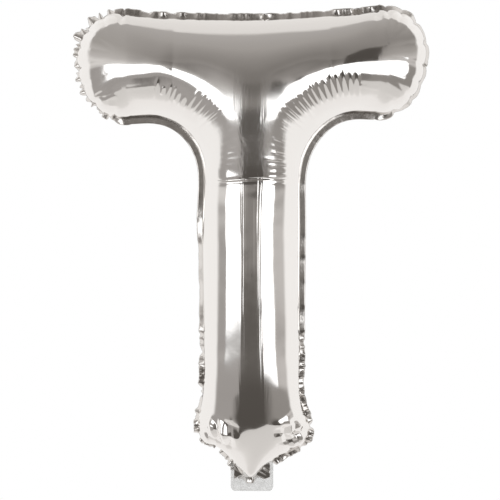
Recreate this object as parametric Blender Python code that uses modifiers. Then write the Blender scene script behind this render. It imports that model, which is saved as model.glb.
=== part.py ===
"""Inflated silver foil balloon in the shape of the capital letter T, about 375 mm tall.

It is made as the real one is: a front and a back sheet of film, each swollen into half of a
tube-like T, joined round their edge by a flat heat seal. At the foot the two sheets run on as a
short neck, and a clear film valve comes out between them as a small tail that can be bent.

Metres, +Z up, the letter read from -Y. The origin is in the middle of the neck, where a ribbon
is tied and the seal's plane (Y = 0) meets the letter's centre line (X = 0).
"""
import math

import bpy
from mathutils import Vector

# Sizes of the inflated letter, between the lines where the film leaves the seal.
BAR_TOP_Z = 0.352
BAR_BOTTOM_Z = 0.2785
BAR_CREST_Z = (BAR_TOP_Z + BAR_BOTTOM_Z) / 2
BAR_HALF_SPAN = 0.1335
STEM_HALF_WIDTH = 0.038
FOOT_CORNER = (0.0372, 0.0265)
FOOT_TIP_Z = -0.005

# Thicknesses. The real film is about 0.03 mm, which is too thin for a solid.
SHELL_THICKNESS = 0.002
SEAL_THICKNESS = 0.0015
FILM_THICKNESS = 0.0003
GAP = 0.0003

# The flat seal: how far it reaches outside the swollen film, and how far under its rim.
SEAL_OUTSIDE = 0.0045
SEAL_UNDER_RIM = 0.002

# The neck, the clear valve film in it, and the tail of valve film below it.
NECK_HALF_WIDTH = 0.014
VALVE_HALF_WIDTH = 0.0165
NECK_BOTTOM_Z = -0.0058
FOLD_Z = -0.00645
TAIL_TOP_Z = -0.0067
TAIL_BOTTOM_Z = -0.0150
TAIL_CORNER_RADIUS = 0.0030
TAIL_CORNER_STEPS = 5

# Each rib is a quarter arc of cage points from the rim (0 degrees) up to the crest (90 degrees).
RIB_ANGLES = (0, 30, 60, 90)
# Subdivision draws the surface in from its cage by this share, so the cage stands out by it.
CAGE_STAND_OUT = 3 / (2 + math.cos(math.radians(RIB_ANGLES[1])))

# Ribs along the arm and past the inner corner, from the arm's end to the middle of the letter:
# the crest point's x, the upper rim's z, the lower rim point's x and z, and the depth there.
ARM_RIBS = (
    (0.1225, 0.3510, 0.1225, 0.2800, 0.0245),
    (0.1050, 0.3520, 0.1050, 0.2785, 0.0335),
    (0.0800, 0.3520, 0.0830, 0.2780, 0.0370),
    (0.0500, 0.3520, 0.0640, 0.2745, 0.0395),
    (0.0250, 0.3520, 0.0535, 0.2670, 0.0425),
    (0.0000, 0.3520, 0.0455, 0.2560, 0.0435),
)
# Ribs down the stem: the crest point's z, the side rim point's x and z, and the depth there.
STEM_RIBS = (
    (0.2780, 0.0410, 0.2400, 0.0425),
    (0.2400, 0.0385, 0.2180, 0.0405),
    (0.1900, STEM_HALF_WIDTH, 0.1850, 0.0385),
    (0.1300, STEM_HALF_WIDTH, 0.1300, STEM_HALF_WIDTH),
    (0.0750, STEM_HALF_WIDTH, 0.0780, STEM_HALF_WIDTH),
    (0.0420, STEM_HALF_WIDTH, 0.0480, 0.0340),
    (0.0150, 0.0378, 0.0340, 0.0190),
)
ARM_END_X = BAR_HALF_SPAN


def clear_scene():
    for obj in list(bpy.data.objects):
        bpy.data.objects.remove(obj)


def new_collection(name):
    collection = bpy.data.collections.new(name)
    bpy.context.scene.collection.children.link(collection)
    return collection


def new_material(name, colour, roughness, metallic, alpha=1.0):
    material = bpy.data.materials.new(name)
    material.use_nodes = True
    shader = material.node_tree.nodes["Principled BSDF"]
    shader.inputs["Base Color"].default_value = (*colour, 1)
    shader.inputs["Roughness"].default_value = roughness
    shader.inputs["Metallic"].default_value = metallic
    shader.inputs["Alpha"].default_value = alpha
    return material


def add_object(name, data, collection, material):
    obj = bpy.data.objects.new(name, data)
    data.materials.append(material)
    collection.objects.link(obj)
    return obj


def rib(crest, rim, depth, rim_y):
    """Cage points from the rim up to the crest, for a rib whose ends are (x, z) points."""
    points = []
    for angle in RIB_ANGLES:
        out = CAGE_STAND_OUT if angle else 1
        across = math.cos(math.radians(angle)) * out
        if angle == 90:
            across = 0
        up = math.sin(math.radians(angle)) * out
        x = crest[0] + (rim[0] - crest[0]) * across
        z = crest[1] + (rim[1] - crest[1]) * across
        points.append((x, rim_y - (depth + rim_y) * up, z))
    return points


def rim_row(crest, rim, rim_y):
    """Cage points of a rib that lies wholly on the rim, as at the arm's end and at the foot."""
    shares = [math.cos(math.radians(angle)) for angle in RIB_ANGLES]
    return [
        (crest[0] + (rim[0] - crest[0]) * share, rim_y, crest[1] + (rim[1] - crest[1]) * share)
        for share in shares
    ]


def half_letter_cage(rim_y):
    """The right half of the front sheet as a coarse cage, open at X = 0 and at its rim."""
    upper = [rim_row((ARM_END_X, BAR_CREST_Z), (ARM_END_X - 0.002, 0.3500), rim_y)]
    lower = [rim_row((ARM_END_X, BAR_CREST_Z), (ARM_END_X - 0.002, 0.2805), rim_y)]
    for crest_x, top_z, low_x, low_z, depth in ARM_RIBS:
        crest = (crest_x, BAR_CREST_Z)
        upper.append(rib(crest, (crest_x, top_z), depth, rim_y))
        lower.append(rib(crest, (low_x, low_z), depth, rim_y))
    for crest_z, side_x, side_z, depth in STEM_RIBS:
        lower.append(rib((0, crest_z), (side_x, side_z), depth, rim_y))
    lower.append(rim_row((0, FOOT_TIP_Z), FOOT_CORNER, rim_y))

    points = []
    index_of = {}

    def index(point):
        key = tuple(round(value, 6) for value in point)
        if key not in index_of:
            index_of[key] = len(points)
            points.append(point)
        return index_of[key]

    faces = []
    for ribs, turned in ((upper, True), (lower, False)):
        for rib_a, rib_b in zip(ribs, ribs[1:]):
            for step in range(len(RIB_ANGLES) - 1):
                corners = (rib_a[step], rib_a[step + 1], rib_b[step + 1], rib_b[step])
                face = [index(corner) for corner in corners]
                faces.append(face[::-1] if turned else face)
    mesh = bpy.data.meshes.new("half_letter_cage")
    mesh.from_pydata(points, [], faces)
    mesh.update()
    return mesh


def letter_surface(name, rim_y, collection, material):
    """The whole swollen front sheet as an open, smooth surface."""
    sheet = add_object(name, half_letter_cage(rim_y), collection, material)
    mirror = sheet.modifiers.new("other_half", "MIRROR")
    mirror.use_axis = (True, False, False)
    mirror.use_clip = True
    mirror.merge_threshold = 0.0001
    smooth = sheet.modifiers.new("swell", "SUBSURF")
    smooth.levels = 1
    smooth.render_levels = 1
    return sheet


def evaluated_mesh(obj):
    bpy.context.view_layer.update()
    graph = bpy.context.evaluated_depsgraph_get()
    return bpy.data.meshes.new_from_object(obj.evaluated_get(graph))


def foil_sheet(name, front, collection, material):
    """One sheet as a shell. The back one is the front one turned half a turn about Z."""
    rim_y = -(SEAL_THICKNESS / 2 + GAP)
    sheet = letter_surface(name, rim_y, collection, material)
    shell = sheet.modifiers.new("film", "SOLIDIFY")
    shell.thickness = SHELL_THICKNESS
    shell.offset = 1
    sheet.data.shade_smooth()
    if not front:
        sheet.rotation_euler.z = math.pi
    return sheet


def rim_loop(surface):
    """The ordered (x, z) points of the swollen sheet's rim, from the foot's tip round its left."""
    mesh = evaluated_mesh(surface)
    uses = {}
    for polygon in mesh.polygons:
        for key in polygon.edge_keys:
            uses[key] = uses.get(key, 0) + 1
    neighbours = {}
    for (a, b), count in uses.items():
        if count == 1:
            neighbours.setdefault(a, []).append(b)
            neighbours.setdefault(b, []).append(a)
    place = {i: Vector((mesh.vertices[i].co.x, mesh.vertices[i].co.z)) for i in neighbours}
    start = min(place, key=lambda i: place[i].y)
    loop = [start]
    here = min(neighbours[start], key=lambda i: place[i].x)
    while here != start:
        loop.append(here)
        onward = [i for i in neighbours[here] if i != loop[-2]]
        here = onward[0]
    return [place[i] for i in loop]


def moved_out(loop, distance):
    """The closed loop, which runs clockwise, moved outwards by that distance."""
    moved = []
    for i, point in enumerate(loop):
        along = (loop[(i + 1) % len(loop)] - loop[i - 1]).normalized()
        moved.append(point + Vector((-along.y, along.x)) * distance)
    return moved


def height_at(line, x):
    """Where a polyline of (x, z) points that runs across passes the given x."""
    for a, b in zip(line, line[1:]):
        if min(a.x, b.x) <= x <= max(a.x, b.x) and a.x != b.x:
            return a.y + (b.y - a.y) * (x - a.x) / (b.x - a.x)
    return line[-1].y


def plate(name, outline, y_from, y_to, collection, material):
    """A flat plate parallel to the seal: an (x, z) outline, and the Y of its two faces."""
    curve = bpy.data.curves.new(name, "CURVE")
    curve.dimensions = "2D"
    curve.fill_mode = "BOTH"
    curve.extrude = (y_to - y_from) / 2
    spline = curve.splines.new("POLY")
    spline.points.add(len(outline) - 1)
    for point, (x, z) in zip(spline.points, outline):
        point.co = (x, z, 0, 1)
    spline.use_cyclic_u = True
    obj = add_object(name, curve, collection, material)
    obj.rotation_euler.x = math.pi / 2
    obj.location.y = (y_from + y_to) / 2
    return obj


def edge_seal(outer, inner, collection, material):
    """The heat seal: a band round the letter, open at the neck where the valve passes out."""
    end_x = VALVE_HALF_WIDTH + GAP
    middle = len(outer) // 2

    def beyond_neck(line):
        """The line without its stretch across the neck, and with ends at the neck's sides."""
        left = [p for p in line[:middle] if p.x <= -end_x or p.y > BAR_BOTTOM_Z]
        right = [p for p in line[middle:] if p.x >= end_x or p.y > BAR_BOTTOM_Z]
        foot = line[-8:] + line[:8]
        first = Vector((-end_x, height_at(foot, -end_x)))
        last = Vector((end_x, height_at(foot, end_x)))
        return [first, *left, *right, last]

    outline = beyond_neck(outer) + beyond_neck(inner)[::-1]
    half = SEAL_THICKNESS / 2
    return plate("edge_seal", [tuple(p) for p in outline], -half, half, collection, material)


def neck_outline(half_width, inner):
    """Flat film from the neck's lower edge up to just under the swollen sheet's rim."""
    foot = inner[-8:] + inner[:8]
    top = sorted((p for p in foot if abs(p.x) < half_width - 0.0005), key=lambda p: p.x)
    top = [Vector((-half_width, height_at(foot, -half_width))), *top]
    top.append(Vector((half_width, height_at(foot, half_width))))
    return [(-half_width, NECK_BOTTOM_Z), (half_width, NECK_BOTTOM_Z)] + [
        tuple(p) for p in reversed(top)
    ]


def tail_outline():
    """The tail of valve film below the fold, with its two lower corners rounded."""
    radius = TAIL_CORNER_RADIUS
    points = [(-VALVE_HALF_WIDTH, TAIL_TOP_Z)]
    for side, first, last in ((-1, 180, 270), (1, 270, 360)):
        centre_x = side * (VALVE_HALF_WIDTH - radius)
        for step in range(TAIL_CORNER_STEPS + 1):
            angle = math.radians(first + (last - first) * step / TAIL_CORNER_STEPS)
            x = centre_x + radius * math.cos(angle)
            z = TAIL_BOTTOM_Z + radius + radius * math.sin(angle)
            points.append((x, z))
    points.append((VALVE_HALF_WIDTH, TAIL_TOP_Z))
    return points


def main():
    clear_scene()
    letter = new_collection("letter_foil_balloon")
    helpers = new_collection("helpers")
    foil = new_material("silver_foil", (0.80, 0.79, 0.78), 0.08, 1.0)
    seal = new_material("sealed_foil_edge", (0.72, 0.71, 0.70), 0.2, 1.0)
    clear_film = new_material("clear_valve_film", (0.86, 0.87, 0.86), 0.3, 0.0, alpha=0.6)

    foil_sheet("front_foil_sheet", True, letter, foil)
    foil_sheet("back_foil_sheet", False, letter, foil)

    guide = letter_surface("rim_guide", 0, helpers, foil)
    guide.hide_render = True
    guide.display_type = "WIRE"
    rim = rim_loop(guide)
    outer = moved_out(rim, SEAL_OUTSIDE)
    inner = moved_out(rim, -SEAL_UNDER_RIM)
    edge_seal(outer, inner, letter, seal)

    valve_y = FILM_THICKNESS / 2
    foil_y = valve_y + GAP
    neck = neck_outline(NECK_HALF_WIDTH, inner)
    plate("neck_front_foil", neck, -foil_y - FILM_THICKNESS, -foil_y, letter, foil)
    plate("neck_back_foil", neck, foil_y, foil_y + FILM_THICKNESS, letter, foil)
    collar = neck_outline(VALVE_HALF_WIDTH, inner)
    plate("valve_neck_film", collar, -valve_y, valve_y, letter, clear_film)

    fold_line = bpy.data.objects.new("tail_fold_line", None)
    fold_line.location.z = FOLD_Z
    letter.objects.link(fold_line)
    mouth_y = GAP / 2
    for name, y_from in (
        ("valve_front_film", -mouth_y - FILM_THICKNESS),
        ("valve_back_film", mouth_y),
    ):
        film = plate(name, tail_outline(), y_from, y_from + FILM_THICKNESS, letter, clear_film)
        film.parent = fold_line
        film.location.z = -FOLD_Z


main()
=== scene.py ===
import math

import bpy
import numpy as np
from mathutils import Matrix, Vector
from mathutils.bvhtree import BVHTree
from mathutils.geometry import delaunay_2d_cdt


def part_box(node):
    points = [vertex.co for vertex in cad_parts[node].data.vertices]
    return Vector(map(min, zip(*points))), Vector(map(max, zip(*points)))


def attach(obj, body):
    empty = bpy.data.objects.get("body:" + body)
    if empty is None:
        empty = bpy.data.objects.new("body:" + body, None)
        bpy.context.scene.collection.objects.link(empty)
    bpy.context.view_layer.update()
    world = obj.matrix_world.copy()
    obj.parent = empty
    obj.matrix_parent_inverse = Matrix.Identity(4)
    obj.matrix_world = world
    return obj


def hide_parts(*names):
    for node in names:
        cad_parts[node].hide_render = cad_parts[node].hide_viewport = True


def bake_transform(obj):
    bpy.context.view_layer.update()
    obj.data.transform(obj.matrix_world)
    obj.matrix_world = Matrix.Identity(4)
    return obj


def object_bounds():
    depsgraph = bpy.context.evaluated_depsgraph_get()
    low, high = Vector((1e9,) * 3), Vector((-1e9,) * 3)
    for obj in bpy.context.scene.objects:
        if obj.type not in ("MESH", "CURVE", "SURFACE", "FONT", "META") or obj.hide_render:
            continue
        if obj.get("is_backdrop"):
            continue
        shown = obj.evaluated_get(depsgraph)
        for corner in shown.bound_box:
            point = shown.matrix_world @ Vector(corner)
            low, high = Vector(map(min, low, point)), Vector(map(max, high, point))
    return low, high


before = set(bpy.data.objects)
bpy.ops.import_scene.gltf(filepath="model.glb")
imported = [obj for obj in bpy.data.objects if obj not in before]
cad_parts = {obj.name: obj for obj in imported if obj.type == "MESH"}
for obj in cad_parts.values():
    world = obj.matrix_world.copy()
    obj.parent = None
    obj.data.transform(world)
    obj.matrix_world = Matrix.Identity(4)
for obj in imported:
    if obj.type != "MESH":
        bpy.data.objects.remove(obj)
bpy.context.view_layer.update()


# Camera.
# It looks straight at the letter's front from 1.5 m, through a long lens, so the letter shows
# almost no perspective. The picture is square and 500 pixels wide.
PIXEL = 0.0007775
PICTURE_PIXELS = 500
CENTRE_LINE_PX = 252
ORIGIN_PY = 471.6
CAMERA_DISTANCE = 1.5

camera_data = bpy.data.cameras.new("camera")
camera = bpy.data.objects.new("camera", camera_data)
bpy.context.scene.collection.objects.link(camera)
camera.location = (
    (PICTURE_PIXELS / 2 - CENTRE_LINE_PX) * PIXEL,
    -CAMERA_DISTANCE,
    (ORIGIN_PY - PICTURE_PIXELS / 2) * PIXEL,
)
camera.rotation_euler = (math.pi / 2, 0, 0)
camera_data.lens = camera_data.sensor_width * CAMERA_DISTANCE / (PICTURE_PIXELS * PIXEL)
bpy.context.scene.camera = camera
bpy.context.scene.view_settings.view_transform = "Standard"


# Studio.
# A white tent round a white table: plain soft light from above, behind and both sides, a darker
# opening at the front where the camera stands, and a softbox on each side of it.
def linear(hex_colour):
    """An sRGB hex colour as the linear numbers that Blender takes."""
    channels = [int(hex_colour[i : i + 2], 16) / 255 for i in (1, 3, 5)]
    return tuple(c / 12.92 if c <= 0.04045 else ((c + 0.055) / 1.055) ** 2.4 for c in channels)


def add_node(tree, kind, inputs=None, **settings):
    """Adds a node. An input is a value, or another node's output to link."""
    node = tree.nodes.new(kind)
    for name, value in settings.items():
        setattr(node, name, value)
    for name, value in (inputs or {}).items():
        if isinstance(value, bpy.types.NodeSocket):
            tree.links.new(value, node.inputs[name])
        else:
            node.inputs[name].default_value = value
    return node


def set_stops(tones, stops):
    """Gives a colour ramp its stops, as (position, hex colour) pairs."""
    elements = tones.color_ramp.elements
    for position, colour in stops[1:-1]:
        elements.new(position)
    for element, (position, colour) in zip(elements, stops):
        element.position = position
        element.color = (*linear(colour), 1)


def calculate(tree, operation, first, second=None, **settings):
    """The outcome of a sum on one or two values or other nodes' outputs."""
    inputs = {0: first} if second is None else {0: first, 1: second}
    return add_node(tree, "ShaderNodeMath", inputs, operation=operation, **settings).outputs[0]


def mapped(tree, value, start, end, low=0.0, high=1.0, kind="SMOOTHSTEP"):
    """A number that goes from low to high as the value goes from start to end."""
    inputs = {"Value": value, "From Min": start, "From Max": end, "To Min": low, "To Max": high}
    return add_node(tree, "ShaderNodeMapRange", inputs, interpolation_type=kind).outputs["Result"]


def blended(tree, share, first, second):
    """A colour that goes from the first to the second as the share goes from 0 to 1."""
    inputs = {0: share, 6: first, 7: second}
    return add_node(tree, "ShaderNodeMix", inputs, data_type="RGBA").outputs[2]


world = bpy.data.worlds.new("studio")
bpy.context.scene.world = world
world.use_nodes = True
tree = world.node_tree
tree.nodes.clear()
direction = add_node(tree, "ShaderNodeTexCoord").outputs["Generated"]
xyz = add_node(tree, "ShaderNodeSeparateXYZ", {"Vector": direction}).outputs
forward = calculate(tree, "MULTIPLY", xyz["Y"], -1.0)
turn = calculate(tree, "ARCTAN2", xyz["X"], forward)
side_angle = calculate(tree, "ABSOLUTE", turn)
height = calculate(tree, "ARCSINE", xyz["Z"])
height_share = mapped(tree, height, -math.pi / 2, math.pi / 2, kind="LINEAR")

# How light each side of the tent is, from straight down (-90 degrees) to straight up (90).
FRONT_WALL = (
    (-90, "#4A4642"),
    (-10, "#54504C"),
    (-3, "#5E5A56"),
    (-1.5, "#8A8682"),
    (3, "#86827E"),
    (12, "#6A6662"),
    (24, "#605C58"),
    (26, "#7A7672"),
    (34, "#7A7672"),
    (48, "#8E8A86"),
    (62, "#A39F9B"),
    (84, "#AEAAA7"),
)
LEFT_WALL = (
    (-90, "#A8A4A1"),
    (-5, "#9E9A97"),
    (-1.2, "#A29E9B"),
    (2.5, "#CECBC8"),
    (7, "#DAD7D4"),
    (14, "#BCB8B5"),
    (32, "#A29E9A"),
    (84, "#AEAAA7"),
)
RIGHT_WALL = (
    (-90, "#86827E"),
    (-5, "#928E8A"),
    (-1, "#C6C2BF"),
    (6, "#C2BEBB"),
    (14, "#A6A29E"),
    (32, "#8C8884"),
    (62, "#A39F9B"),
    (84, "#AEAAA7"),
)
BACK_WALL = (
    (-90, "#E6E3E0"),
    (-45, "#F4F2F0"),
    (40, "#FAF8F6"),
    (68, "#ECE9E6"),
    (84, "#E2DFDC"),
    (89, "#B4B0AC"),
)
REAR_OPENING = (
    (-90, "#E6E3E0"),
    (-40, "#A6A29E"),
    (-8, "#86827E"),
    (9, "#7E7A76"),
    (30, "#ECE9E6"),
    (84, "#E2DFDC"),
    (89, "#B4B0AC"),
)
walls = []
for wall in (FRONT_WALL, LEFT_WALL, RIGHT_WALL, BACK_WALL, REAR_OPENING):
    tones = add_node(tree, "ShaderNodeValToRGB", {"Fac": height_share})
    set_stops(tones, [((degrees + 90) / 180, colour) for degrees, colour in wall])
    walls.append(tones.outputs["Color"])
front, left, right, back, rear = walls

# Each wall fades into the next. The front one is wider below eye level than above it.
to_right = mapped(tree, xyz["X"], -0.1, 0.1, kind="LINEAR")
sides = blended(tree, to_right, left, right)
below, above = math.radians(-5), math.radians(-1)
wide, narrow = math.radians(20), math.radians(2)
front_edge = mapped(tree, height, below, above, wide, narrow, kind="LINEAR")
light = front
for wall, start, end in (
    (sides, front_edge, math.radians(42)),
    (back, math.radians(81), math.radians(92)),
    (rear, math.radians(152), math.radians(166)),
):
    light = blended(tree, mapped(tree, side_angle, start, end), light, wall)
WHITE = (1, 1, 1, 1)
seen = add_node(tree, "ShaderNodeLightPath").outputs["Is Camera Ray"]
background = add_node(
    tree, "ShaderNodeBackground", {"Color": blended(tree, seen, light, WHITE)}
)
add_node(tree, "ShaderNodeOutputWorld", {"Surface": background.outputs[0]})

# The panels stand this far from the letter's centre line. Each softbox has the degrees that it is
# turned to its side, its width, and the heights of its lower and upper edge.
PANEL_DISTANCE = 0.50
SOFTBOXES = (
    ("left", -43, 0.345, 0.061, 0.362),
    ("right", 38, 0.308, 0.020, 0.364),
)
SOFTBOX_STRENGTH = 1.7
# The share of the cloth's width and height over which it fades out at each edge.
SOFT_EDGES = (("X", 0.05), ("Z", 0.12))


def empty_material(name):
    """A new material, and its node tree with nothing in it."""
    material = bpy.data.materials.new(name)
    material.use_nodes = True
    material.node_tree.nodes.clear()
    return material, material.node_tree


def glowing_material(name, colour):
    """A material that gives off one plain colour."""
    material, tree = empty_material(name)
    glow = add_node(tree, "ShaderNodeEmission", {"Color": (*linear(colour), 1)})
    add_node(tree, "ShaderNodeOutputMaterial", {"Surface": glow.outputs[0]})
    return material


def rectangle(width, low, high):
    """The corners of an upright rectangle, as (x, z) points."""
    return [(-width / 2, low), (width / 2, low), (width / 2, high), (-width / 2, high)]


def stand_panel(name, outline, turned, material, behind=0.0):
    """A flat panel that faces the letter. The camera doesn't see it, but the foil mirrors it."""
    mesh = bpy.data.meshes.new(name)
    mesh.from_pydata([(x, -behind, z) for x, z in outline], [], [range(len(outline))])
    mesh.materials.append(material)
    panel = bpy.data.objects.new(name, mesh)
    bpy.context.scene.collection.objects.link(panel)
    angle = math.radians(turned)
    panel.location = (math.sin(angle) * PANEL_DISTANCE, -math.cos(angle) * PANEL_DISTANCE, 0)
    panel.rotation_euler.z = angle
    panel.visible_camera = False
    panel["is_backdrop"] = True


# The softboxes' cloth is bright in the middle and fades to nothing at its edges.
softbox_cloth, tree = empty_material("softbox_cloth")
place = add_node(tree, "ShaderNodeTexCoord").outputs["Generated"]
axes = add_node(tree, "ShaderNodeSeparateXYZ", {"Vector": place}).outputs
strength = SOFTBOX_STRENGTH
for axis, soft in SOFT_EDGES:
    off_middle = calculate(tree, "SUBTRACT", axes[axis], 0.5)
    off_middle = calculate(tree, "ABSOLUTE", off_middle)
    fade = mapped(tree, off_middle, 0.5 - soft, 0.5, 1.0, 0.0)
    strength = calculate(tree, "MULTIPLY", fade, strength)
glow = add_node(tree, "ShaderNodeEmission", {"Strength": strength})
clear = add_node(tree, "ShaderNodeBsdfTransparent")
solid = calculate(tree, "MULTIPLY", strength, 1.0, use_clamp=True)
mixed = add_node(
    tree, "ShaderNodeMixShader", {0: solid, 1: clear.outputs[0], 2: glow.outputs[0]}
)
add_node(tree, "ShaderNodeOutputMaterial", {"Surface": mixed.outputs[0]})
for side, turned, width, low, high in SOFTBOXES:
    stand_panel(f"softbox_{side}", rectangle(width, low, high), turned, softbox_cloth)

# A grey cloth hangs just behind the left softbox and shows below it.
CLOTH_LOW = -0.03
CLOTH_HIGH = 0.12
JUST_BEHIND = 0.005
_, turned, width, _, _ = SOFTBOXES[0]
grey_cloth = glowing_material("grey_cloth", "#9E9A97")
stand_panel("grey_skirt", rectangle(width, CLOTH_LOW, CLOTH_HIGH), turned, grey_cloth, JUST_BEHIND)

# A dark card clamped to the top of the right softbox keeps its light off the letter's right arm.
CARD_OUTLINE = ((-0.104, 0.352), (0.036, 0.352), (0.036, 0.552), (-0.078, 0.597), (-0.104, 0.590))
_, turned, _, _, _ = SOFTBOXES[1]
grey_card = glowing_material("grey_card", "#4E4A46")
stand_panel("grey_card", CARD_OUTLINE, turned, grey_card, JUST_BEHIND)

# The round white table below. Its front edge is the line where the foil turns from dark to light,
# and it lies in the letter's own shade in the middle.
# That shade is painted into the tones the table glows with, which only the foil mirrors.
TABLE_Z = -0.62
TABLE_DEPTH = 0.78
TABLE_HALF = 1.1
TABLE_BACK = 4.0
# Its glowing tones, with painted shade darker towards the front, from its front edge (0) to its
# back edge (1).
TABLE_TONES = (
    (0.0, "#D0CDCA"),
    (0.1, "#D6D3D0"),
    (0.14, "#DFDCD9"),
    (0.165, "#F0EDEB"),
    (0.3, "#F6F4F2"),
)
angles = [math.radians(degrees) for degrees in range(-90, 91, 3)]
outline = [(TABLE_HALF * math.sin(a), -TABLE_DEPTH * math.cos(a), TABLE_Z) for a in angles]
outline += [(TABLE_HALF, TABLE_BACK, TABLE_Z), (-TABLE_HALF, TABLE_BACK, TABLE_Z)]
table_mesh = bpy.data.meshes.new("table")
table_mesh.from_pydata(outline, [], [range(len(outline))])
table = bpy.data.objects.new("table", table_mesh)
bpy.context.scene.collection.objects.link(table)
white_laminate, tree = empty_material("white_laminate")
place = add_node(tree, "ShaderNodeTexCoord").outputs["Generated"]
away = add_node(tree, "ShaderNodeSeparateXYZ", {"Vector": place}).outputs["Y"]
# Painted shade: the tones darken the table towards its front, and only the foil shows them. The
# camera sees the table plain white.
tone = add_node(tree, "ShaderNodeValToRGB", {"Fac": away})
set_stops(tone, TABLE_TONES)
seen = add_node(tree, "ShaderNodeLightPath").outputs["Is Camera Ray"]
tone = blended(tree, seen, tone.outputs["Color"], WHITE)
glow = add_node(tree, "ShaderNodeEmission", {"Color": tone})
add_node(tree, "ShaderNodeOutputMaterial", {"Surface": glow.outputs[0]})
table_mesh.materials.append(white_laminate)
table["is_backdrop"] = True


# Front foil sheet.
# Nylon film with a thin coat of aluminium, cut flat to the letter's outline and welded to the back
# sheet round its edge. Gas swells it, and where the flat film is too long it buckles into creases.
#
# The flat letter, in metres from the middle of its top edge.
BAR_HALF = 0.1475
BAR_DEPTH = 0.0930
BAR_DEPTH_INSIDE = 0.1225
TOP_RADIUS = 0.047
LOW_RADIUS = 0.050
INNER_RADIUS = 0.066
STEM_HALF = 0.0572
SHOULDER_HALF = 0.0548
FOOT_RADIUS = 0.028
SHOULDER_Z = -0.3725
TIP_Z = -0.4067
TIP_RADIUS = 0.008
TOP_DROP = 0.003
SEAL_WIDTH = 0.0047

# The gas in pascals, and how hard the film is to stretch and to bend in the steps below.
PRESSURE = 1500
STRETCH_STIFFNESS = 2.0e4
BEND_STIFFNESS = 1.0e-5
# The gas pushes straight out of the film, worked out anew every so many steps.
GAS_EVERY = 8


def rounded_corner(before, corner, after, radius, steps=32):
    """The arc that rounds off a corner of the outline, as (x, z) points."""
    before, corner, after = (np.array(p, float) for p in (before, corner, after))
    u = (before - corner) / np.linalg.norm(before - corner)
    v = (after - corner) / np.linalg.norm(after - corner)
    half = math.acos(np.clip(u @ v, -1, 1)) / 2
    centre = corner + (u + v) / np.linalg.norm(u + v) * radius / math.sin(half)
    first = corner + u * radius / math.tan(half) - centre
    last = corner + v * radius / math.tan(half) - centre
    start = math.atan2(first[1], first[0])
    sweep = (math.atan2(last[1], last[0]) - start + math.pi) % (2 * math.pi) - math.pi
    angles = start + sweep * np.linspace(0, 1, steps)
    return [centre + radius * np.array([math.cos(a), math.sin(a)]) for a in angles]


def letter_pattern():
    """The weld line of the flat letter, clockwise from the top of its right arm."""
    top_middle = (0, 0)
    top_corner = (BAR_HALF, -TOP_DROP)
    low_corner = (BAR_HALF, -BAR_DEPTH)
    crotch = (STEM_HALF, -BAR_DEPTH_INSIDE)
    shoulder = (SHOULDER_HALF, SHOULDER_Z)
    tip = (0, TIP_Z)
    right = rounded_corner(top_middle, top_corner, low_corner, TOP_RADIUS)
    right += rounded_corner(top_corner, low_corner, crotch, LOW_RADIUS)
    right += rounded_corner(low_corner, crotch, shoulder, INNER_RADIUS)
    right += rounded_corner(crotch, shoulder, tip, FOOT_RADIUS)
    foot = rounded_corner(shoulder, tip, (-SHOULDER_HALF, SHOULDER_Z), TIP_RADIUS)
    left = [p * (-1, 1) for p in reversed(right)]
    return np.array(right + foot + left)


def evenly_spaced(line, edge, whole=round):
    """Points round a closed line, about an edge length apart. whole rounds their number."""
    closed = np.vstack([line, line[:1]])
    along = np.r_[0, np.cumsum(np.linalg.norm(np.diff(closed, axis=0), axis=1))]
    places = np.linspace(0, along[-1], int(whole(along[-1] / edge)), endpoint=False)
    return np.stack([np.interp(places, along, closed[:, k]) for k in (0, 1)], axis=1)


def inside(points, line):
    """Which points lie inside a closed line."""
    found = np.zeros(len(points), bool)
    for (x1, z1), (x2, z2) in zip(line, np.roll(line, -1, axis=0)):
        if z1 != z2:
            crosses = (z1 > points[:, 1]) != (z2 > points[:, 1])
            at = (x2 - x1) * (points[:, 1] - z1) / (z2 - z1) + x1
            found ^= crosses & (points[:, 0] < at)
    return found


def distance_to(line, points):
    """How far each point lies from a closed line."""
    nearest = np.full(len(points), 1e9)
    for a, b in zip(line, np.roll(line, -1, axis=0)):
        ab = b - a
        if ab @ ab > 1e-14:
            t = np.clip(((points - a) @ ab) / (ab @ ab), 0, 1)
            away = np.linalg.norm(points - a - t[:, None] * ab, axis=1)
            nearest = np.minimum(nearest, away)
    return nearest


def flat_cross(a, b, c):
    """Twice the signed area of flat triangles."""
    return (b[:, 0] - a[:, 0]) * (c[:, 1] - a[:, 1]) - (c[:, 0] - a[:, 0]) * (b[:, 1] - a[:, 1])


def facing_front(points, triangles):
    """The triangles, all wound the same way."""
    turned = flat_cross(*(points[triangles[:, k]] for k in range(3))) < 0
    triangles = triangles.copy()
    triangles[turned] = triangles[turned][:, ::-1]
    return triangles


def jittered_grid(low, high, edge, noise):
    """Points of a triangle grid, each pushed a little off its place."""
    xs = np.arange(low[0], high[0], edge)
    zs = np.arange(low[1], high[1], edge * math.sqrt(3) / 2)
    grid = np.array([(x + row % 2 * edge / 2, z) for row, z in enumerate(zs) for x in xs])
    return grid + noise.uniform(-0.14 * edge, 0.14 * edge, grid.shape)


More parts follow.
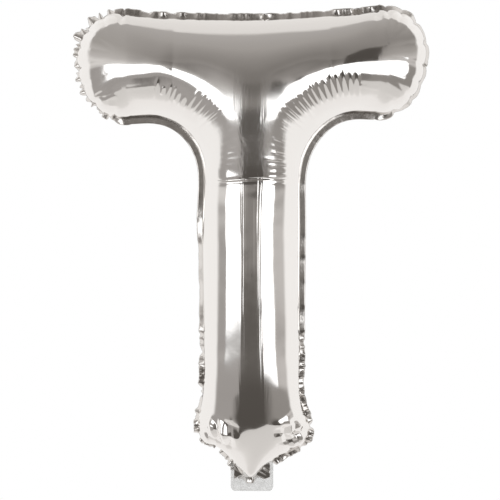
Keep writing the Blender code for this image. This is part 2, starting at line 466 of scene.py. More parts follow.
class FlatFilm:
    """The flat sheet as triangles: seam points first, then the inside, then the rows of the seal.
    finer takes flat points and says which of a row of edge lengths each place needs."""

    def __init__(self, pattern, edges, seed, seal_rows=True, finer=None):
        edge = edges[0]
        noise = np.random.default_rng(seed)
        seam = evenly_spaced(pattern, edge)
        count = self.seam_count = len(seam)
        grids = []
        for kind, size in enumerate(edges):
            grid = jittered_grid(pattern.min(0), pattern.max(0), size, noise)
            grid = grid[inside(grid, pattern)]
            grid = grid[distance_to(pattern, grid) > 0.6 * edge]
            if finer:
                grid = grid[finer(grid) == kind]
            grids.append(grid)
        points = np.vstack([seam, *grids])
        border = [(i, (i + 1) % count) for i in range(count)]
        made = delaunay_2d_cdt([Vector(p) for p in points], border, [], 1, 1e-7)
        source = np.array([origin[0] for origin in made[3]])
        body = facing_front(points, source[np.array([face[:] for face in made[2]])])
        size = flat_cross(*(points[body[:, k]] for k in range(3)))
        body = body[size > 0.02 * min(edges) ** 2]
        used = np.arange(len(points)) < count
        used[body] = True
        points = points[used]
        body = (np.cumsum(used) - 1)[body]
        self.body_points = len(points)
        self.body_triangles = len(body)
        self.flat = points
        self.triangles = body
        if seal_rows:
            self.add_seal(seam, max(1, int(round(SEAL_WIDTH / edge / 0.87))))

    def add_seal(self, seam, rows):
        count = len(seam)
        along = np.roll(seam, -1, axis=0) - np.roll(seam, 1, axis=0)
        along /= np.linalg.norm(along, axis=1)[:, None]
        outward = np.c_[-along[:, 1], along[:, 0]]
        here = np.arange(count)
        onward = np.roll(here, -1)
        inner = here
        for row in range(1, rows + 1):
            outer = len(self.flat) + here
            self.flat = np.vstack([self.flat, seam + outward * SEAL_WIDTH * row / rows])
            next_inner, next_outer = inner[onward], outer[onward]
            if row % 2:
                band = [np.c_[inner, next_inner, outer], np.c_[next_inner, next_outer, outer]]
            else:
                band = [np.c_[inner, next_inner, next_outer], np.c_[inner, next_outer, outer]]
            self.triangles = np.vstack([self.triangles, facing_front(self.flat, np.vstack(band))])
            inner = outer


def neighbour_tables(film):
    """For each point, its neighbours, and each edge's rest length, stiffness and bend weight."""
    flat, triangles, total = film.flat, film.triangles, len(film.flat)
    corners = [flat[triangles[:, k]] for k in range(3)]
    area = np.abs(flat_cross(*corners)) / 2
    cotangents = []
    for k in range(3):
        u = corners[(k + 1) % 3] - corners[k]
        v = corners[(k + 2) % 3] - corners[k]
        cross = np.abs(u[:, 0] * v[:, 1] - u[:, 1] * v[:, 0])
        cotangents.append((u * v).sum(1) / np.maximum(cross, 1e-12))
    ends = np.concatenate([triangles[:, pair] for pair in ([1, 2], [2, 0], [0, 1])])
    ends = np.sort(ends)
    keys, inverse = np.unique(ends[:, 0].astype(np.int64) * total + ends[:, 1], return_inverse=True)
    i, j = keys // total, keys % total
    bend = np.maximum(np.bincount(inverse, np.concatenate(cotangents)) / 2, 0)
    length = np.linalg.norm(flat[i] - flat[j], axis=1)
    stiffness = STRETCH_STIFFNESS * np.bincount(inverse, np.tile(area, 3)) / length**2

    source = np.concatenate([i, j])
    order = np.argsort(source, kind="stable")
    source = source[order]
    target = np.concatenate([j, i])[order]
    degree = np.bincount(source, minlength=total)
    slot = np.arange(len(source)) - np.r_[0, np.cumsum(degree)[:-1]][source]
    neighbours = np.tile(np.arange(total), (degree.max(), 1))
    neighbours[slot, source] = target
    tables = []
    for values, empty in ((bend, 0.0), (length, 1.0), (stiffness, 0.0)):
        table = np.full(neighbours.shape, empty)
        table[slot, source] = np.concatenate([values, values])[order]
        tables.append(table)
    point_area = np.bincount(triangles.ravel(), np.repeat(area / 3, 3), total)
    return neighbours, *tables, point_area


def inflate(film, steps, damping, slack, seam_held):
    """Moves the points step by step until pressure and tension balance.
    slack is the share of an edge's stiffness left when it is pushed shorter than it was cut."""
    neighbours, bend, length, stiffness, point_area = neighbour_tables(film)
    total = len(film.flat)
    place = film.place
    seam = np.arange(total) < film.seam_count
    free_edge = np.arange(total) >= total - film.seam_count
    bend_share = np.where(seam | free_edge, 0, 1 / np.maximum(point_area, 1e-12))
    on_seam = seam[neighbours] & seam
    push = np.where(on_seam, 0.0, slack)
    mass = stiffness.sum(0) + BEND_STIFFNESS * 4 * bend.sum(0) ** 2 * np.maximum(
        bend_share, np.median(bend_share)
    )
    pace = 0.9 / np.maximum(mass, 0.001 * mass.mean())
    tension_length = stiffness * length
    held = seam | (np.arange(total) >= film.body_points)
    body = film.triangles[: film.body_triangles]
    corners = body.T.ravel()
    speed = np.zeros_like(place)
    for step in range(steps):
        reach = [place[k][neighbours] - place[k] for k in range(3)]
        now = np.sqrt(np.maximum(reach[0] ** 2 + reach[1] ** 2 + reach[2] ** 2, 1e-14))
        pull = stiffness - tension_length / now
        pull = np.where(pull < 0, pull * push, pull)
        force = np.stack([(r * pull).sum(0) for r in reach])
        curve = np.stack([(r * bend).sum(0) for r in reach]) * bend_share
        for k in range(3):
            force[k] -= BEND_STIFFNESS * ((curve[k][neighbours] - curve[k]) * bend).sum(0)
        if step % GAS_EVERY == 0:
            a, b, c = (place[:, body[:, k]] for k in range(3))
            u, v = b - a, c - a
            normal = np.stack(
                [u[1] * v[2] - u[2] * v[1], u[2] * v[0] - u[0] * v[2], u[0] * v[1] - u[1] * v[0]]
            )
            share = normal * PRESSURE / 6
            gas = np.stack([np.bincount(corners, np.tile(share[k], 3), total) for k in range(3)])
            place[1, : film.body_points] = np.minimum(place[1, : film.body_points], 0)
        force += gas
        force[1, seam] = 0
        if seam_held:
            force[:, held] = 0
        speed *= damping
        speed += force * pace
        place += speed
    return place


def placed(film, flat_points):
    """Where points of the flat sheet lie on a film that is already swollen."""
    body = film.triangles
    tree = BVHTree.FromPolygons([Vector((x, z, 0)) for x, z in film.flat], body.tolist())
    hit = np.array([tree.find_nearest(Vector((x, z, 0)))[2] for x, z in flat_points])
    a, b, c = (film.flat[body[hit, k]] for k in range(3))
    whole = flat_cross(a, b, c)
    first = np.clip(flat_cross(flat_points, b, c) / whole, -0.3, 1.3)
    second = np.clip(flat_cross(a, flat_points, c) / whole, -0.3, 1.3)
    corners = [film.place[:, body[hit, k]] for k in range(3)]
    return corners[0] * first + corners[1] * second + corners[2] * (1 - first - second)


def smooth(film, passes):
    """Takes out short waves and keeps long ones, moving each point to and from its neighbours."""
    neighbours = neighbour_tables(film)[0]
    real = neighbours != np.arange(len(film.flat))
    count = np.maximum(real.sum(0), 1)
    for turn in range(passes):
        for share in (0.5, -0.53):
            mean = np.stack([(axis[neighbours] * real).sum(0) / count for axis in film.place])
            move = share * (mean - film.place)
            move[:, : film.seam_count] = 0
            film.place += move


def smooth_loop(line, passes):
    """A closed line with its short waves taken out."""
    for turn in range(passes):
        for share in (0.5, -0.53):
            mean = (np.roll(line, 1, axis=1) + np.roll(line, -1, axis=1)) / 2
            line = line + share * (mean - line)
    return line


# Edge length, steps, damping, slack, and whether the seam stays where the step before left it.
LEVELS = (
    (0.008, 2500, 0.99, 1.0, False),
    (0.008, 1500, 0.99, 0.0, True),
    (0.004, 1000, 0.98, 0.0, True),
)
pattern = letter_pattern()
film = None
for level, (edge, steps, damping, slack, held) in enumerate(LEVELS):
    finer = FlatFilm(pattern, [edge], 5 + level)
    noise = np.random.default_rng(11 + level)
    seam = slice(0, finer.seam_count)
    if film is None:
        rise = np.minimum(distance_to(pattern, finer.flat) / 2, 0.02)
        finer.place = np.stack([finer.flat[:, 0], -rise, finer.flat[:, 1]])
    else:
        finer.place = placed(film, finer.flat)
        finer.place[:, seam] = smooth_loop(finer.place[:, seam], 12 * level**2)
    finer.place[1, seam] = 0
    middle = slice(finer.seam_count, finer.body_points)
    finer.place[1, middle] -= np.abs(noise.normal(0, 3e-5, finer.place[1, middle].shape))
    finer.place = inflate(finer, steps, damping, slack, held)
    film = finer

# The swollen sheet at even spacing, moved up or down until its lowest point is at FOOT_Z.
EVEN_EDGE = 0.002
FOOT_Z = -0.005
even = FlatFilm(pattern, [EVEN_EDGE], 20, seal_rows=False)
even.place = placed(film, even.flat)
seam = slice(0, even.seam_count)
even.place[:, seam] = smooth_loop(even.place[:, seam], 60)
even.place[1, seam] = 0
even.place = inflate(even, 120, 0.97, 0.0, True)
smooth(even, 60)
even.place[2] += FOOT_Z - even.place[2, seam].min()

# The pleats round each inner corner point at this place beside the stem, seen from the front.
CORNER_X = 0.0875
CORNER_Z = 0.2325
PLEAT_START = 0.050
PLEAT_END = 0.083
CREASE_Z = 0.226
# About where the foot is crumpled on each side, how far past the pleats the fine part goes, and the
# edge lengths that plain, gathered and folded places need.
CRUMPLE_X = 0.027
CRUMPLE_Z = 0.031
MARGIN = 0.004
COARSE, MIDDLING, FINE = range(3)
FINE_EDGES = (0.0019, 0.0011, 0.00078)


def detail_needed(flat_points):
    """Which edge length each place of the sheet needs, by where it lies once swollen."""
    x, _, z = placed(even, flat_points)
    x = np.abs(x)
    kind = np.full(len(x), COARSE)
    bar_end = x > 0.102
    foot_side = (z < 0.048) & (x > 0.012)
    kind[bar_end | foot_side] = MIDDLING
    reach = np.hypot(x - CORNER_X, z - CORNER_Z)
    pleated = (reach > PLEAT_START + MARGIN) & (reach < PLEAT_END + MARGIN) & (x < 0.095)
    kind[pleated & (z > CORNER_Z - 0.012)] = FINE
    kind[np.abs(z - CREASE_Z) < 0.005] = FINE
    kind[np.hypot(x - CRUMPLE_X, z - CRUMPLE_Z) < 0.018] = FINE
    return kind


film = FlatFilm(pattern, FINE_EDGES, 30, seal_rows=False, finer=detail_needed)
film.place = placed(even, film.flat)
film.place[1, : film.seam_count] = 0
smooth(film, 45)
triangles = film.triangles
seam_count = film.seam_count
points = film.place.T.copy()
x, z = points[:, 0], points[:, 2]
aside = np.abs(x)


def ramp(values, start, end):
    """How far each value has come on its way from start to end, from 0 to 1."""
    return np.clip((values - start) / (end - start), 0, 1)


def eased(share):
    """Gives a share that goes evenly from 0 to 1 a gentle start and end."""
    return share * share * (3 - 2 * share)


def bell(away, width):
    """1 where away is 0, and close to 0 from twice the width on."""
    return np.exp(-((away / width) ** 2))


# The right arm is a little higher than the left one, so the bar slopes.
BAR_SLOPE = 0.014
points[:, 2] += BAR_SLOPE * x * eased(ramp(z, 0.20, 0.29))

# The left end of the bar is a rounder cap than the right one, so it lies further back.
LEFT_CAP_START = -0.093
LEFT_CAP_END = -0.133
LEFT_CAP_LOSS = 0.38
share = ramp(x, LEFT_CAP_START, LEFT_CAP_END) * ramp(z, 0.24, 0.26)
points[:, 1] *= 1 - LEFT_CAP_LOSS * share**2


def outward_normals(points, triangles):
    """The direction straight out of the film at each point."""
    a, b, c = (points[triangles[:, k]] for k in range(3))
    face = np.cross(b - a, c - a)
    total = np.zeros_like(points)
    for k in range(3):
        np.add.at(total, triangles[:, k], face)
    return total / np.maximum(np.linalg.norm(total, axis=1), 1e-12)[:, None]


normals = outward_normals(points, triangles)
if normals[:, 1].mean() > 0:
    triangles = triangles[:, ::-1]
    normals = -normals
faces_front = normals[:, 1] < 0

# From here on folds and fullness are added up as a lift straight out of the film.
lift = np.zeros(len(points))


def fold(start, end, width, height, sharp=False, taper=0.3):
    """Raises a ridge on the sheet along a line seen from the front, or a groove if height < 0."""
    start, end = np.array(start, float), np.array(end, float)
    length = np.linalg.norm(end - start)
    along = (end - start) / length
    away = points[:, (0, 2)] - start
    u = away @ along / length
    t = np.abs(away @ np.array([-along[1], along[0]])) / width
    near = (u > 0) & (u < 1) & (t < 4)
    ends = np.clip(np.minimum(u[near], 1 - u[near]) / taper, 0, 1)
    shape = np.exp(-t[near]) if sharp else np.exp(-t[near] ** 2)
    lift[near] += height * shape * eased(ends)


# Round the inner corners the film is too long for the tight curve. It stands out in a shoulder, and
# below that it gathers into fine pleats that all point at the corner.
SHOULDER_REACH = 0.081
SHOULDER_WIDTH = 0.0078
SHOULDER_HEIGHT = 0.0010
corner_reach = np.hypot(aside - CORNER_X, z - CORNER_Z)
corner_turn = np.degrees(np.arctan2(z - CORNER_Z, aside - CORNER_X)) % 360
share = ramp(corner_turn, 88, 104) * ramp(corner_turn, 172, 147)
lift += SHOULDER_HEIGHT * bell(corner_reach - SHOULDER_REACH, SHOULDER_WIDTH) * eased(share)

chance = np.random.default_rng(3)
PLEAT_PITCH = math.radians(3.9)
PLEAT_HEIGHT = 0.00036
# Side, first and last angle round the corner, strength, and how far out they reach.
PLEATS = (
    (1, 96, 150, 1.15, 0.082),
    (1, 150, 188, 0.9, 0.080),
    (-1, 103, 127, 0.95, 0.072),
    (-1, 128, 150, 0.8, 0.081),
    (-1, 150, 178, 0.35, 0.080),
)
for side, first, last, strength, furthest in PLEATS:
    angle = math.radians(first)
    while angle < math.radians(last):
        reach_in = chance.uniform(0.052, 0.061)
        reach_out = furthest + chance.uniform(-0.005, 0.002)
        across, up = math.cos(angle), math.sin(angle)
        fold(
            (side * (CORNER_X + across * reach_out), CORNER_Z + up * reach_out),
            (side * (CORNER_X + across * reach_in), CORNER_Z + up * reach_in),
            chance.uniform(0.0009, 0.0013),
            PLEAT_HEIGHT * strength * chance.uniform(0.6, 1.3),
            taper=chance.uniform(0.2, 0.35),
        )
        angle += PLEAT_PITCH * chance.uniform(0.8, 1.2)

# Along the underside of each arm one soft crease runs out to the end of the bar.
ARM_CREASE_WIDTH = 0.0011
ARM_CREASE_HEIGHT = 0.00015
ARM_CREASES = (
    (-1, (0.0715, 0.2980), (0.0975, 0.2962), (0.1185, 0.2915)),
    (1, (0.0800, 0.2985), (0.0970, 0.2970), (0.1135, 0.2910)),
)
for side, *places in ARM_CREASES:
    places = [(side * across, up) for across, up in places]
    for first, last in zip(places, places[1:]):
        fold(first, last, ARM_CREASE_WIDTH, ARM_CREASE_HEIGHT, taper=0.12)

# Where the left one ends, a few short sharp creases lie across each other.
SMALL_CREASES = 9
SMALL_CREASE_WIDTH = 0.0009
for crease in range(SMALL_CREASES):
    middle = np.array([-0.1135, 0.2895]) + chance.normal(0, (0.005, 0.0022))
    half = chance.uniform(0.003, 0.007) * np.array([1, chance.uniform(-0.1, 0.5)])
    height = chance.uniform(-0.0005, 0.0005)
    fold(middle - half, middle + half, SMALL_CREASE_WIDTH, height, sharp=True)

# One crease right across the stem, just below the inner corners, with a soft roll under it. The
# film above it leans forward. 6.75 makes the lean's highest place 1.
CREASE_DEPTH = 0.00055
CREASE_WIDTH = 0.0008
ROLL_HEIGHT = 0.00028
LEAN_FORWARD = 0.00042
crease_z = CREASE_Z + 0.0007 * np.sin(x * 95 + 0.6) + 9 * np.clip(x - 0.022, 0, 1) ** 2
above_crease = z - crease_z
across_stem = ramp(aside, 0.036, 0.024) * faces_front
lift -= CREASE_DEPTH * np.exp(-np.abs(above_crease) / CREASE_WIDTH) * across_stem
lift += ROLL_HEIGHT * bell(above_crease + 0.0020, 0.0012) * across_stem
share = ramp(z, CREASE_Z, CREASE_Z + 0.04)
across_stem = np.clip(1 - (x / 0.040) ** 2, 0, 1) * faces_front
lift += LEAN_FORWARD * 6.75 * share * (1 - share) ** 2 * across_stem

# The arms swell into the middle of the bar without a kink.
JOIN_X = 0.0605
JOIN_HEIGHT = 0.00036
join_width = np.where(aside > JOIN_X, 0.010, 0.024)
lift += JOIN_HEIGHT * bell(aside - JOIN_X, join_width) * ramp(z, 0.285, 0.305)

# Along the middle of each arm the film is drawn tight, which curves it more.
ARM_FULLNESS = 0.0009
ARM_MIDDLE_Z = 0.312
along_arm = ramp(aside, 0.040, 0.094) * ramp(aside, 0.134, 0.118)
lift += ARM_FULLNESS * eased(along_arm) * bell(z - ARM_MIDDLE_Z, 0.012)


def directions(line, span):
    """The directions along a closed line and out of it, measured over some of its points."""
    forward = np.roll(line, -span, axis=0) - np.roll(line, span, axis=0)
    forward /= np.linalg.norm(forward, axis=1)[:, None]
    outward = np.c_[-forward[:, 1], forward[:, 0]]
    if (outward * line).sum() < 0:
        outward = -outward
    return forward, outward


# The seam as a closed line, and how far along it each of its points lies.
seam = points[:seam_count, (0, 2)]
seam_outward = directions(seam, 1)[1]
step_length = np.linalg.norm(np.roll(seam, -1, axis=0) - seam, axis=1)
seam_along = np.r_[0, np.cumsum(step_length)[:-1]]
from_seam = distance_to(seam[::4], points[:, (0, 2)])

# The pinches draw the bar's ends in, so the film stands up steeply behind them, and the gas keeps
# the stem full almost down to the foot.
END_FULLNESS = 0.0048
END_REACH = 0.0055
FOOT_FULLNESS = 0.0018
at_end = ramp(aside, 0.060, 0.120) * ramp(z, 0.230, 0.260)
lift += END_FULLNESS * at_end * (1 - np.exp(-from_seam / END_REACH))
lift += FOOT_FULLNESS * bell(z - 0.055, 0.030) * ramp(from_seam, 0, 0.03)

# Round the ends of the bar the seam gathers the film into scallops, with a pinch between each two.
SCALLOP = 0.0155
PINCH_REACH = 0.010
PINCH_WIDTH = 0.0016
PINCH_DEPTH = 0.0011
PILLOW = 0.0016
PILLOW_REACH = 0.008
pinches = []
for side in (-1, 1):
    at_end = np.nonzero(side * seam[:, 0] > 0.098)[0]
    first, last = seam_along[at_end[0]], seam_along[at_end[-1]]
    place = first + SCALLOP * chance.uniform(0.2, 0.6)
    while place < last:
        pinches.append((place, chance.uniform(0.6, 1.2)))
        place += SCALLOP * chance.uniform(0.8, 1.2)
seam_lift = np.zeros(seam_count)
for place, depth in pinches:
    at = int(np.argmin(np.abs(seam_along - place)))
    inner = seam[at] - seam_outward[at] * PINCH_REACH
    outer = seam[at] + seam_outward[at] * PINCH_REACH * 0.9
    fold(outer, inner, PINCH_WIDTH, -PINCH_DEPTH * depth, sharp=True, taper=0.45)
    seam_lift -= PINCH_DEPTH * depth * np.exp(-np.abs(seam_along - place) / 0.0022)
pinch_places = np.array([place for place, _ in pinches])


def gap_to_pinch(places):
    """How far places along the seam lie from the nearest pinch."""
    return np.abs(places[:, None] - pinch_places[None]).min(1)


def pillow_height(gap):
    """How the film swells between a pinch and the middle of a scallop."""
    return PILLOW * (np.sqrt(np.clip(1 - (1 - gap / (SCALLOP / 2)) ** 2, 0, 1)) - 0.55)


near = np.nonzero((from_seam < 0.030) & (aside > 0.095) & (z > 0.25))[0]
closest = np.concatenate(
    [
        np.argmin(((points[part][:, None, (0, 2)] - seam[None]) ** 2).sum(2), axis=1)
        for part in np.array_split(near, 40)
    ]
)
swell = pillow_height(gap_to_pinch(seam_along[closest]))
lift[near] += swell * np.exp(-from_seam[near] / PILLOW_REACH)
seam_gap = gap_to_pinch(seam_along)
scalloped = (seam_gap < SCALLOP) & (np.abs(seam[:, 0]) > 0.095)
seam_lift += np.where(scalloped, pillow_height(seam_gap), 0)
lift[:seam_count] = seam_lift

# Both corners of the foot are crumpled into small flat facets with sharp creases between them. Each
# crumple has its middle and how far it reaches.
CRUMPLES = ((-0.0235, 0.0310, 0.0175), (0.0300, 0.0310, 0.0160))
FACET_LENGTHS = (0.0170, 0.0115, 0.0080)
FACET_SLOPE = 0.42
FACET_BEND = 0.25
for middle_x, middle_z, reach in CRUMPLES:
    away = points[:, (0, 2)] - (middle_x, middle_z)
    share = eased(np.clip(1.4 * (1 - np.hypot(away[:, 0], away[:, 1]) / reach), 0, 1))
    for length in FACET_LENGTHS:
        turn = chance.uniform(0, math.pi)
        along = away @ (math.cos(turn), math.sin(turn)) / length + chance.uniform(0, 1)
        across = away @ (-math.sin(turn), math.cos(turn)) / length
        along += FACET_BEND * np.abs((across * 0.6) % 1 - 0.5)
        lift += FACET_SLOPE * length * (np.abs(along % 1 - 0.5) - 0.25) * share

# From the right crumple one ridge runs up to the stem's side, and the film below it faces down.
RIDGE_WIDTH = 0.0038
RIDGE_HEIGHT = 0.0013
fold((0.0150, 0.0360), (0.0370, 0.0470), RIDGE_WIDTH, RIDGE_HEIGHT)

# The seam itself stays in the letter's plane, and every other point this far in front of it.
CLEARANCE = 0.00005
moved = points + normals * lift[:, None]
moved[:seam_count, 1] = 0
moved[:seam_count, (0, 2)] = seam + seam_outward * seam_lift[:, None]
moved[seam_count:, 1] = np.minimum(moved[seam_count:, 1], -CLEARANCE)
points = moved


def add_mesh(name, vertices, faces):
    """A new smooth-shaded object."""
    mesh = bpy.data.meshes.new(name)
    mesh.from_pydata(vertices.tolist(), [], faces.tolist())
    mesh.update()
    mesh.shade_smooth()
    piece = bpy.data.objects.new(name, mesh)
    bpy.context.scene.collection.objects.link(piece)
    return piece


def new_material(name, colour, **values):
    """A Principled material with its colour and the values of its other sockets."""
    material = bpy.data.materials.new(name)
    material.use_nodes = True
    shader = material.node_tree.nodes["Principled BSDF"]
    shader.inputs["Base Color"].default_value = (*linear(colour), 1)
    for socket, value in values.items():
        shader.inputs[socket.replace("_", " ")].default_value = value
    return material, shader


# Metallised nylon film: a mirror with a faint warm grey.
silver_foil, foil_shader = new_material("metallised_film", "#F7F5F3", Metallic=1, Roughness=0.10)
tree = silver_foil.node_tree
place = add_node(tree, "ShaderNodeTexCoord").outputs["Object"]
axes = add_node(tree, "ShaderNodeSeparateXYZ", {"Vector": place}).outputs
off_middle = calculate(tree, "ABSOLUTE", axes["X"])
under_bar = mapped(tree, axes["Z"], 0.285, 0.315, 1.0, 0.1)

# Along the middle of the stem the film is drawn into fine upright streaks.
in_middle = mapped(tree, off_middle, 0.006, 0.018, 1.0, 0.12)
above_foot = mapped(tree, axes["Z"], 0.042, 0.070)
streaked = calculate(tree, "MULTIPLY", in_middle, under_bar)
streaked = calculate(tree, "MULTIPLY", streaked, above_foot)

# Above the crease the middle of the stem is finely crazed, which blurs what it mirrors.
above_crease = mapped(tree, axes["Z"], 0.226, 0.242)
near_middle = mapped(tree, off_middle, 0.010, 0.030, 1.0, 0.0)
crazed = calculate(tree, "MULTIPLY", under_bar, above_crease)
crazed = calculate(tree, "MULTIPLY", crazed, near_middle)
roughness = mapped(tree, crazed, 0.0, 1.0, 0.10, 0.23, kind="LINEAR")
tree.links.new(roughness, foil_shader.inputs["Roughness"])

# The streaks, and the slight unevenness of all film. How much each pattern is stretched, the length
# and depth of its waves in mm, and where it shows.
normal = None
for scale, wave_mm, depth_mm, amount in (
    ((1, 1, 0.025), 2.6, 0.26, streaked),
    ((1, 1, 1), 9.0, 0.02, 1.0),
):
    stretched = add_node(tree, "ShaderNodeMapping", {"Vector": place, "Scale": scale})
    waves = add_node(
        tree,
        "ShaderNodeTexNoise",
        {"Vector": stretched.outputs[0], "Scale": 1000 / wave_mm, "Detail": 2.0, "Roughness": 0.5},
    )
    bump = add_node(
        tree,
        "ShaderNodeBump",
        {"Height": waves.outputs[0], "Distance": depth_mm / 1000, "Strength": amount},
    )
    if normal:
        tree.links.new(normal, bump.inputs["Normal"])
    normal = bump.outputs["Normal"]
tree.links.new(normal, foil_shader.inputs["Normal"])

front_sheet = add_mesh("front_foil_film", points, triangles)
front_sheet.data.materials.append(silver_foil)
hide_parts("front_foil_sheet")
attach(front_sheet, "envelope")


# Back foil sheet.
# The same film cut with the front one, so it swells into the mirror image and meets it at the seam.
back_sheet = add_mesh("back_foil_film", points * (1, -1, 1), triangles[:, ::-1])
back_sheet.data.materials.append(silver_foil)
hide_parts("back_foil_sheet")
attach(back_sheet, "envelope")


# Edge seal.
# The two films pressed together by a hot bar, a flat band 5 mm wide outside the weld line. It can't
# shrink with the swollen letter, so round the ends and at the foot it crumples into short waves.
SEAL_STEP = 0.0008
SEAL_ROWS = 6
SEAL_UNDERLAP = 0.0004
SEAL_THICKNESS = 0.00012
rim = evenly_spaced(points[:seam_count, (0, 2)], SEAL_STEP, math.floor)
count = len(rim)
clean = smooth_loop(rim.T, 200).T
forward, outward = directions(clean, 4)


def soft_step(values, start, end):
    """How far each value has come on its way from start to end, with a gentle start and end."""
    return eased(ramp(values, start, end))


def loop_noise(wave, seed):
    """Smooth noise round the seam, whose waves are about that long, from -1 to 1."""
    rough = np.random.default_rng(seed).normal(0, 1, count)
    spread = np.exp(-0.5 * (np.arange(-200, 201) * SEAL_STEP / (wave * 0.3)) ** 2)
    padded = np.roll(np.r_[spread, np.zeros(count - len(spread))], -200)
    value = np.real(np.fft.ifft(np.fft.fft(rough) * np.fft.fft(padded)))
    return value / np.abs(value).max() * 1.4


vary_slow = 1.4 * loop_noise(0.0090, 45)
vary_fast = 1.4 * loop_noise(0.0032, 46)
# How far the band leans back from the letter's plane, in degrees, and how much that varies. It
# catches the dark front of the tent where it stands flat and the white sides where it leans.
x, z = clean[:, 0], clean[:, 1]
left, right = x < 0, x >= 0
top = soft_step(z, 0.330, 0.340) * (1 - soft_step(np.abs(x), 0.085, 0.105))
ends = soft_step(np.abs(x), 0.098, 0.112) * soft_step(z, 0.255, 0.270)
under = soft_step(z, 0.200, 0.215) * (1 - top) * (1 - ends)
stem = (1 - soft_step(z, 0.200, 0.215)) * soft_step(z, 0.032, 0.040)
stem_low = stem * (1 - soft_step(z, 0.088, 0.125))
foot = 1 - soft_step(z, 0.032, 0.040)
stem_turn = 50 * (1 - soft_step(z, 0.165, 0.215))
left_end = ends * left
corners = foot * soft_step(np.abs(x), 0.018, 0.030)
lean = 14 * top + ends * np.where(left, 44, 54) + under * np.where(left, 0, 3)
lean += stem * np.where(left, stem_turn, 2) + stem_low * np.where(left, -12, 16) + 24 * foot
lean += vary_slow * (24 * top + 4 * left_end + 14 * ends + 3 * under + 6 * stem + 22 * stem_low)
lean += vary_fast * (9 * top + 44 * left_end + 22 * stem_low + 50 * foot)
lean = np.radians(lean)

# How strongly the band is crumpled, from hardly at all along the top to fully at the foot.
crumple = 0.12 * top + 0.30 * ends + 0.8 * left_end + 0.05 * under + 0.06 * stem + 0.5 * stem_low
crumple += foot + 0.5 * corners

# How far the waves stand out of the band's plane, slide along it and shorten it.
wave = 0.0012 * loop_noise(0.0045, 41) + 0.0010 * loop_noise(0.0024, 42)
slide = 0.0008 * loop_noise(0.0030, 43)
width_share = 1 - 0.32 * np.clip(crumple, 0, 1) * (0.5 + 0.5 * loop_noise(0.004, 44)) + 0.14 * top
width_share += 0.5 * soft_step(-x, 0.106, 0.116) * soft_step(z, 0.328, 0.338)
layers = []
for row in range(SEAL_ROWS + 1):
    share = row / SEAL_ROWS
    out = (SEAL_WIDTH + SEAL_UNDERLAP) * share * width_share * np.cos(lean) - SEAL_UNDERLAP
    base = rim + outward * out[:, None] + forward * (slide * crumple * share)[:, None]
    depth = wave * crumple * share**1.2 + SEAL_WIDTH * share * width_share * np.sin(lean)
    layers.append(np.c_[base[:, 0], depth, base[:, 1]])
here = np.arange(count)
onward = np.roll(here, -1)
bands = []
for row in range(SEAL_ROWS):
    inner, outer = row * count, (row + 1) * count
    bands.append(np.c_[inner + here, inner + onward, outer + onward, outer + here])
sealed_edge, seal_shader = new_material("sealed_foil_edge", "#E6E3E0", Metallic=1, Roughness=0.14)
tree = sealed_edge.node_tree
place = add_node(tree, "ShaderNodeTexCoord").outputs["Object"]
grain = add_node(
    tree,
    "ShaderNodeTexNoise",
    {"Vector": place, "Scale": 1000 / 1.2, "Detail": 3.0, "Roughness": 0.6},
).outputs[0]
bump = add_node(tree, "ShaderNodeBump", {"Height": grain, "Distance": 0.00006, "Strength": 1.0})
tree.links.new(bump.outputs["Normal"], seal_shader.inputs["Normal"])
dull = mapped(tree, grain, 0.35, 0.65, 0.10, 0.24, kind="LINEAR")
tree.links.new(dull, seal_shader.inputs["Roughness"])
seal = add_mesh("crumpled_edge_seal", np.vstack(layers), np.vstack(bands))
thick = seal.modifiers.new("two_films", "SOLIDIFY")
thick.thickness = SEAL_THICKNESS
thick.offset = 0
seal.data.materials.append(sealed_edge)
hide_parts("edge_seal")
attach(seal, "envelope")


# Neck.
# Below the foot's point the two films run on as a short flat neck, 28 mm wide, cut off ragged. The
# weld and the gas pressure leave it lightly crinkled.
NECK_THICKNESS = 0.0001


def flat_film(name, xs, zs, depth, edge):
    """A thin film from a grid of places, seen from the front. depth gives each place's Y, and edge
    its Z once the outline is cut."""
    grid_x, grid_z = np.meshgrid(xs, zs)
    grid_z = edge(grid_x, grid_z)
    vertices = np.stack([grid_x, depth(grid_x, grid_z), grid_z], axis=2).reshape(-1, 3)
    columns, rows = len(xs), len(zs)
    start = (np.arange(rows - 1)[:, None] * columns + np.arange(columns - 1)).ravel()
    faces = np.c_[start, start + 1, start + columns + 1, start + columns]
    return add_mesh(name, vertices, faces)


neck_low, neck_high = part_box("neck_front_foil")
xs = np.linspace(neck_low.x, neck_high.x, 60)
zs = np.linspace(neck_low.z, neck_high.z, 34)


def ragged(x, z):
    """The neck's cut edge, which is uneven by a millimetre or two."""
    share = (neck_high.z - z) / (neck_high.z - neck_low.z)
    uneven = 0.0012 * np.sin(x * 210 + 2) + 0.0009 * np.sin(x * 530)
    return z + share * (0.0018 + uneven)


for name, side in (("neck_front_foil", -1), ("neck_back_foil", 1)):

    def crinkled(x, z, side=side):
        """How far this side of the neck stands off the letter's plane."""
        small = 0.0004 * np.sin(x * 420 + 2 * np.sin(z * 380)) * np.sin(z * 330 + x * 160)
        return side * (0.0008 + 0.0003 * np.sin(x * 260 + 1.3) + np.abs(small))

    neck = flat_film(f"{name}_film", xs, zs, crinkled, ragged)
    neck.modifiers.new("film", "SOLIDIFY").thickness = NECK_THICKNESS
    neck.data.materials.append(silver_foil)
    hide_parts(name)
    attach(neck, "envelope")


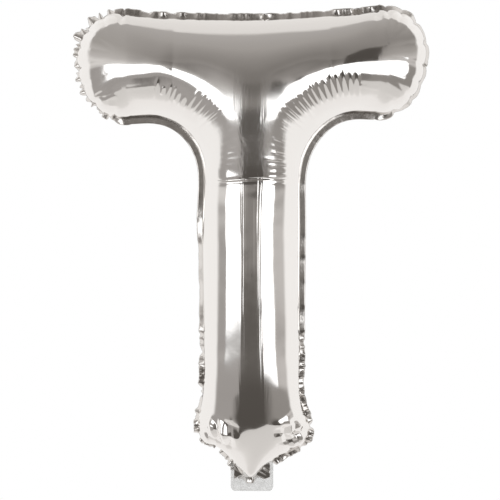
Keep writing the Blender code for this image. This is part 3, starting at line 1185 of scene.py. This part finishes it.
# Valve.
# Two clear polythene films, welded together at their sides, that hang out of the neck as a tail.
# The gas goes in between them, and its pressure then holds them shut.
VALVE_THICKNESS = 0.00008
VALVE_CORNER = 0.0035
tail_low, tail_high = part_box("valve_front_film")
collar_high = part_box("valve_neck_film")[1]
clear_film, clear_shader = new_material("clear_valve_film", "#EEEFEE", Roughness=0.3, Alpha=0.20)
tree = clear_film.node_tree
place = add_node(tree, "ShaderNodeTexCoord").outputs["Object"]
cloudy = add_node(
    tree, "ShaderNodeTexNoise", {"Vector": place, "Scale": 1000 / 5.0, "Detail": 2.0}
).outputs[0]
milk = mapped(tree, cloudy, 0.3, 0.7, 0.15, 0.25, kind="LINEAR")
tree.links.new(milk, clear_shader.inputs["Alpha"])
bump = add_node(tree, "ShaderNodeBump", {"Height": cloudy, "Distance": 0.00025, "Strength": 1.0})
tree.links.new(bump.outputs["Normal"], clear_shader.inputs["Normal"])
xs = np.linspace(tail_low.x, tail_high.x, 44)
zs = np.linspace(collar_high.z - 0.001, tail_low.z, 40)


def rounded(x, z):
    """The tail's outline, with its lower corners rounded off."""
    from_side = np.clip(VALVE_CORNER - (tail_high.x - np.abs(x)), 0, VALVE_CORNER)
    rise = VALVE_CORNER - np.sqrt(VALVE_CORNER**2 - from_side**2)
    return z + rise * np.clip((collar_high.z - z) / (collar_high.z - tail_low.z), 0, 1)


for name, side, nodes in (
    ("valve_front", -1, ("valve_front_film", "valve_neck_film")),
    ("valve_back", 1, ("valve_back_film",)),
):

    def parted(x, z, side=side):
        """How far this film stands off the other one, which is most at the open lower end."""
        mouth = np.clip((-0.004 - z) / 0.011, 0, 1)
        across = np.clip(1 - (x / tail_high.x) ** 2, 0, 1)
        return side * (0.00012 + 0.0004 * mouth * across + 0.00008 * np.sin(x * 500) * across)

    valve = flat_film(f"{name}_layer", xs, zs, parted, rounded)
    valve.modifiers.new("film", "SOLIDIFY").thickness = VALVE_THICKNESS
    valve.data.materials.append(clear_film)
    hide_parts(*nodes)
    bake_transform(valve)


low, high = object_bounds()
